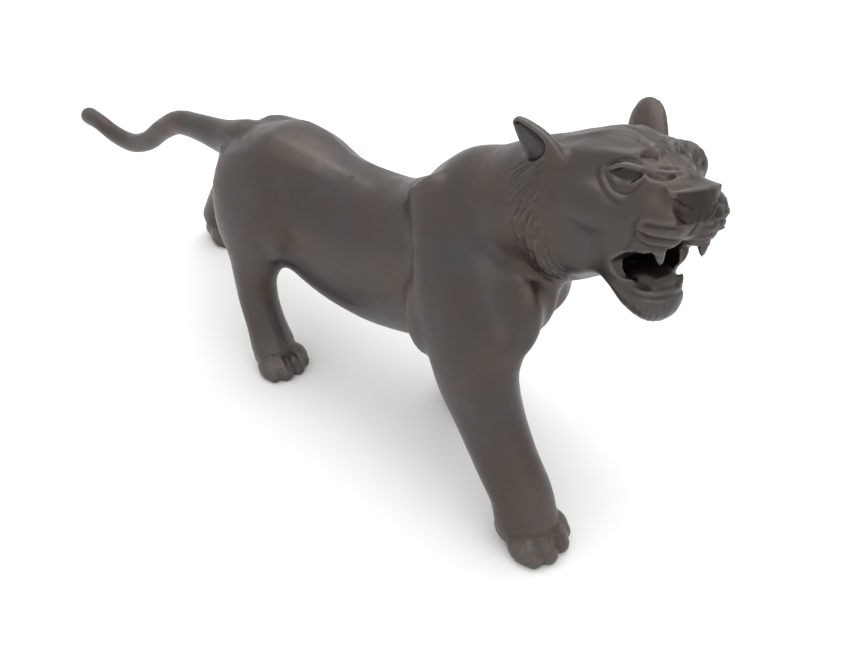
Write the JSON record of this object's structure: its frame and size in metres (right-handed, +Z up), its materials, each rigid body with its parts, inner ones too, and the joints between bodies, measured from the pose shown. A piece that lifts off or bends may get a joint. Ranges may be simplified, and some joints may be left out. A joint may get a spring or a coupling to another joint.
{
  "type": "tiger figurine",
  "caption": "Cast bronze big cat in mid stride, long low body, head turned right with open mouth, S-curved tail, standing on four flat-soled paws.",
  "frame": {"origin": "on the surface it stands on, under the middle of its bounding box", "axes": "+X from the tail towards the nose, +Y to the tiger's own left, +Z up"},
  "size_m": [0.456, 0.124, 0.195],
  "materials": {
    "bronze": "dark brown patina on cast bronze, satin, smooth on the body and chased with hair lines on the head, worn lighter along the ridges"
  },
  "bodies": {
    "root": {"tiger": "bronze"}
  },
  "joints": []
}
